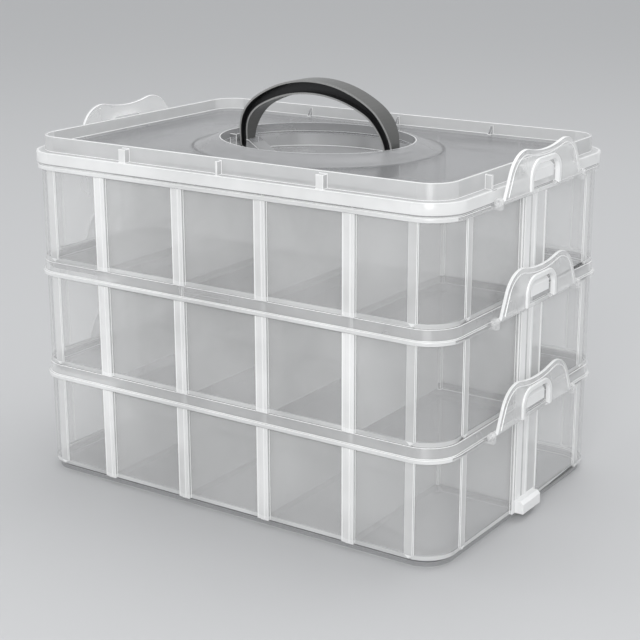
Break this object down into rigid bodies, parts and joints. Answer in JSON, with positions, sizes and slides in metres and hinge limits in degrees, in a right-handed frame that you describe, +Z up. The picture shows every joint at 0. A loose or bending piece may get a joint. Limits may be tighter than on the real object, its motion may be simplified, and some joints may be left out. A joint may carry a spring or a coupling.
{
  "type": "stackable sorting box",
  "caption": "Clear stackable storage box with divided trays, a lid with a folding carry handle, and swinging end latches that lock each layer to the one above.",
  "frame": {"origin": "centre of the bottom tray's flat foot, on the surface that it stands on", "axes": "+X along the long side, towards the end that the reference view shows on its right; +Y from the front long wall to the back one, along the short side; +Z up"},
  "size_m": [0.2604, 0.1728, 0.2092],
  "materials": {
    "tray_plastic": "clear, slightly milky moulded polypropylene",
    "lid_plastic": "clear, slightly milky moulded polypropylene",
    "latch_plastic": "milky moulded polypropylene",
    "divider_plastic": "clear, thin polypropylene sheet",
    "handle_plastic": "black moulded plastic with a low gloss"
  },
  "bodies": {
    "tray_bottom": {"tray_bottom": "tray_plastic"},
    "tray_middle": {"tray_middle": "tray_plastic"},
    "tray_top": {"tray_top": "tray_plastic"},
    "lid": {"lid": "lid_plastic"},
    "handle": {"handle": "handle_plastic"},
    "latch_bottom_right": {"latch_bottom_right": "latch_plastic"},
    "latch_bottom_left": {"latch_bottom_left": "latch_plastic"},
    "latch_middle_right": {"latch_middle_right": "latch_plastic"},
    "latch_middle_left": {"latch_middle_left": "latch_plastic"},
    "latch_top_right": {"latch_top_right": "latch_plastic"},
    "latch_top_left": {"latch_top_left": "latch_plastic"},
    "divider_bottom_back_1": {"divider_bottom_back_1": "divider_plastic"},
    "divider_bottom_back_2": {"divider_bottom_back_2": "divider_plastic"},
    "divider_bottom_back_3": {"divider_bottom_back_3": "divider_plastic"},
    "divider_bottom_back_4": {"divider_bottom_back_4": "divider_plastic"},
    "divider_bottom_front_1": {"divider_bottom_front_1": "divider_plastic"},
    "divider_bottom_front_2": {"divider_bottom_front_2": "divider_plastic"},
    "divider_bottom_front_3": {"divider_bottom_front_3": "divider_plastic"},
    "divider_bottom_front_4": {"divider_bottom_front_4": "divider_plastic"},
    "divider_middle_back_1": {"divider_middle_back_1": "divider_plastic"},
    "divider_middle_back_2": {"divider_middle_back_2": "divider_plastic"},
    "divider_middle_back_3": {"divider_middle_back_3": "divider_plastic"},
    "divider_middle_back_4": {"divider_middle_back_4": "divider_plastic"},
    "divider_middle_front_1": {"divider_middle_front_1": "divider_plastic"},
    "divider_middle_front_2": {"divider_middle_front_2": "divider_plastic"},
    "divider_middle_front_3": {"divider_middle_front_3": "divider_plastic"},
    "divider_middle_front_4": {"divider_middle_front_4": "divider_plastic"},
    "divider_top_back_1": {"divider_top_back_1": "divider_plastic"},
    "divider_top_back_2": {"divider_top_back_2": "divider_plastic"},
    "divider_top_back_3": {"divider_top_back_3": "divider_plastic"},
    "divider_top_back_4": {"divider_top_back_4": "divider_plastic"},
    "divider_top_front_1": {"divider_top_front_1": "divider_plastic"},
    "divider_top_front_2": {"divider_top_front_2": "divider_plastic"},
    "divider_top_front_3": {"divider_top_front_3": "divider_plastic"},
    "divider_top_front_4": {"divider_top_front_4": "divider_plastic"}
  },
  "joints": [
    {"name": "lift_middle", "type": "slide", "parent": "tray_bottom", "child": "tray_middle", "axis": [0, 0, 1], "range_m": [0, 0.075]},
    {"name": "lift_top", "type": "slide", "parent": "tray_middle", "child": "tray_top", "axis": [0, 0, 1], "range_m": [0, 0.075]},
    {"name": "lift_lid", "type": "slide", "parent": "tray_top", "child": "lid", "axis": [0, 0, 1], "range_m": [0, 0.075]},
    {"name": "handle_fold", "type": "hinge", "parent": "lid", "child": "handle", "pos_m": [0, 0, 0.1733], "axis": [1, 0, 0], "range_deg": [-90, 90]},
    {"name": "latch_bottom_right_hinge", "type": "hinge", "parent": "tray_bottom", "child": "latch_bottom_right", "pos_m": [0.1278, 0, 0.056], "axis": [0, 1, 0], "range_deg": [0, 165.5]},
    {"name": "latch_bottom_left_hinge", "type": "hinge", "parent": "tray_bottom", "child": "latch_bottom_left", "pos_m": [-0.1278, 0, 0.056], "axis": [0, -1, 0], "range_deg": [0, 165.5]},
    {"name": "latch_middle_right_hinge", "type": "hinge", "parent": "tray_middle", "child": "latch_middle_right", "pos_m": [0.1278, 0, 0.112], "axis": [0, 1, 0], "range_deg": [0, 165.5]},
    {"name": "latch_middle_left_hinge", "type": "hinge", "parent": "tray_middle", "child": "latch_middle_left", "pos_m": [-0.1278, 0, 0.112], "axis": [0, -1, 0], "range_deg": [0, 165.5]},
    {"name": "latch_top_right_hinge", "type": "hinge", "parent": "tray_top", "child": "latch_top_right", "pos_m": [0.1278, 0, 0.168], "axis": [0, 1, 0], "range_deg": [0, 165.5]},
    {"name": "latch_top_left_hinge", "type": "hinge", "parent": "tray_top", "child": "latch_top_left", "pos_m": [-0.1278, 0, 0.168], "axis": [0, -1, 0], "range_deg": [0, 165.5]},
    {"name": "divider_bottom_back_1_slide", "type": "slide", "parent": "tray_bottom", "child": "divider_bottom_back_1", "axis": [0, 0, 1], "range_m": [0, 0.0605]},
    {"name": "divider_bottom_back_2_slide", "type": "slide", "parent": "tray_bottom", "child": "divider_bottom_back_2", "axis": [0, 0, 1], "range_m": [0, 0.0605]},
    {"name": "divider_bottom_back_3_slide", "type": "slide", "parent": "tray_bottom", "child": "divider_bottom_back_3", "axis": [0, 0, 1], "range_m": [0, 0.0605]},
    {"name": "divider_bottom_back_4_slide", "type": "slide", "parent": "tray_bottom", "child": "divider_bottom_back_4", "axis": [0, 0, 1], "range_m": [0, 0.0605]},
    {"name": "divider_bottom_front_1_slide", "type": "slide", "parent": "tray_bottom", "child": "divider_bottom_front_1", "axis": [0, 0, 1], "range_m": [0, 0.0605]},
    {"name": "divider_bottom_front_2_slide", "type": "slide", "parent": "tray_bottom", "child": "divider_bottom_front_2", "axis": [0, 0, 1], "range_m": [0, 0.0605]},
    {"name": "divider_bottom_front_3_slide", "type": "slide", "parent": "tray_bottom", "child": "divider_bottom_front_3", "axis": [0, 0, 1], "range_m": [0, 0.0605]},
    {"name": "divider_bottom_front_4_slide", "type": "slide", "parent": "tray_bottom", "child": "divider_bottom_front_4", "axis": [0, 0, 1], "range_m": [0, 0.0605]},
    {"name": "divider_middle_back_1_slide", "type": "slide", "parent": "tray_middle", "child": "divider_middle_back_1", "axis": [0, 0, 1], "range_m": [0, 0.0605]},
    {"name": "divider_middle_back_2_slide", "type": "slide", "parent": "tray_middle", "child": "divider_middle_back_2", "axis": [0, 0, 1], "range_m": [0, 0.0605]},
    {"name": "divider_middle_back_3_slide", "type": "slide", "parent": "tray_middle", "child": "divider_middle_back_3", "axis": [0, 0, 1], "range_m": [0, 0.0605]},
    {"name": "divider_middle_back_4_slide", "type": "slide", "parent": "tray_middle", "child": "divider_middle_back_4", "axis": [0, 0, 1], "range_m": [0, 0.0605]},
    {"name": "divider_middle_front_1_slide", "type": "slide", "parent": "tray_middle", "child": "divider_middle_front_1", "axis": [0, 0, 1], "range_m": [0, 0.0605]},
    {"name": "divider_middle_front_2_slide", "type": "slide", "parent": "tray_middle", "child": "divider_middle_front_2", "axis": [0, 0, 1], "range_m": [0, 0.0605]},
    {"name": "divider_middle_front_3_slide", "type": "slide", "parent": "tray_middle", "child": "divider_middle_front_3", "axis": [0, 0, 1], "range_m": [0, 0.0605]},
    {"name": "divider_middle_front_4_slide", "type": "slide", "parent": "tray_middle", "child": "divider_middle_front_4", "axis": [0, 0, 1], "range_m": [0, 0.0605]},
    {"name": "divider_top_back_1_slide", "type": "slide", "parent": "tray_top", "child": "divider_top_back_1", "axis": [0, 0, 1], "range_m": [0, 0.0605]},
    {"name": "divider_top_back_2_slide", "type": "slide", "parent": "tray_top", "child": "divider_top_back_2", "axis": [0, 0, 1], "range_m": [0, 0.0605]},
    {"name": "divider_top_back_3_slide", "type": "slide", "parent": "tray_top", "child": "divider_top_back_3", "axis": [0, 0, 1], "range_m": [0, 0.0605]},
    {"name": "divider_top_back_4_slide", "type": "slide", "parent": "tray_top", "child": "divider_top_back_4", "axis": [0, 0, 1], "range_m": [0, 0.0605]},
    {"name": "divider_top_front_1_slide", "type": "slide", "parent": "tray_top", "child": "divider_top_front_1", "axis": [0, 0, 1], "range_m": [0, 0.0605]},
    {"name": "divider_top_front_2_slide", "type": "slide", "parent": "tray_top", "child": "divider_top_front_2", "axis": [0, 0, 1], "range_m": [0, 0.0605]},
    {"name": "divider_top_front_3_slide", "type": "slide", "parent": "tray_top", "child": "divider_top_front_3", "axis": [0, 0, 1], "range_m": [0, 0.0605]},
    {"name": "divider_top_front_4_slide", "type": "slide", "parent": "tray_top", "child": "divider_top_front_4", "axis": [0, 0, 1], "range_m": [0, 0.0605]}
  ],
  "couplings": [
    {"joint": "latch_bottom_right_hinge", "follows": "lift_middle", "rad_per_m": 38.397},
    {"joint": "latch_bottom_left_hinge", "follows": "lift_middle", "rad_per_m": 38.397},
    {"joint": "latch_middle_right_hinge", "follows": "lift_top", "rad_per_m": 38.397},
    {"joint": "latch_middle_left_hinge", "follows": "lift_top", "rad_per_m": 38.397},
    {"joint": "latch_top_right_hinge", "follows": "lift_lid", "rad_per_m": 38.397},
    {"joint": "latch_top_left_hinge", "follows": "lift_lid", "rad_per_m": 38.397},
    {"joint": "divider_bottom_back_1_slide", "follows": "lift_middle", "ratio": 0.8},
    {"joint": "divider_bottom_back_2_slide", "follows": "lift_middle", "ratio": 0.8},
    {"joint": "divider_bottom_back_3_slide", "follows": "lift_middle", "ratio": 0.8},
    {"joint": "divider_bottom_back_4_slide", "follows": "lift_middle", "ratio": 0.8},
    {"joint": "divider_bottom_front_1_slide", "follows": "lift_middle", "ratio": 0.8},
    {"joint": "divider_bottom_front_2_slide", "follows": "lift_middle", "ratio": 0.8},
    {"joint": "divider_bottom_front_3_slide", "follows": "lift_middle", "ratio": 0.8},
    {"joint": "divider_bottom_front_4_slide", "follows": "lift_middle", "ratio": 0.8},
    {"joint": "divider_middle_back_1_slide", "follows": "lift_top", "ratio": 0.8},
    {"joint": "divider_middle_back_2_slide", "follows": "lift_top", "ratio": 0.8},
    {"joint": "divider_middle_back_3_slide", "follows": "lift_top", "ratio": 0.8},
    {"joint": "divider_middle_back_4_slide", "follows": "lift_top", "ratio": 0.8},
    {"joint": "divider_middle_front_1_slide", "follows": "lift_top", "ratio": 0.8},
    {"joint": "divider_middle_front_2_slide", "follows": "lift_top", "ratio": 0.8},
    {"joint": "divider_middle_front_3_slide", "follows": "lift_top", "ratio": 0.8},
    {"joint": "divider_middle_front_4_slide", "follows": "lift_top", "ratio": 0.8},
    {"joint": "divider_top_back_1_slide", "follows": "lift_lid", "ratio": 0.8},
    {"joint": "divider_top_back_2_slide", "follows": "lift_lid", "ratio": 0.8},
    {"joint": "divider_top_back_3_slide", "follows": "lift_lid", "ratio": 0.8},
    {"joint": "divider_top_back_4_slide", "follows": "lift_lid", "ratio": 0.8},
    {"joint": "divider_top_front_1_slide", "follows": "lift_lid", "ratio": 0.8},
    {"joint": "divider_top_front_2_slide", "follows": "lift_lid", "ratio": 0.8},
    {"joint": "divider_top_front_3_slide", "follows": "lift_lid", "ratio": 0.8},
    {"joint": "divider_top_front_4_slide", "follows": "lift_lid", "ratio": 0.8}
  ]
}
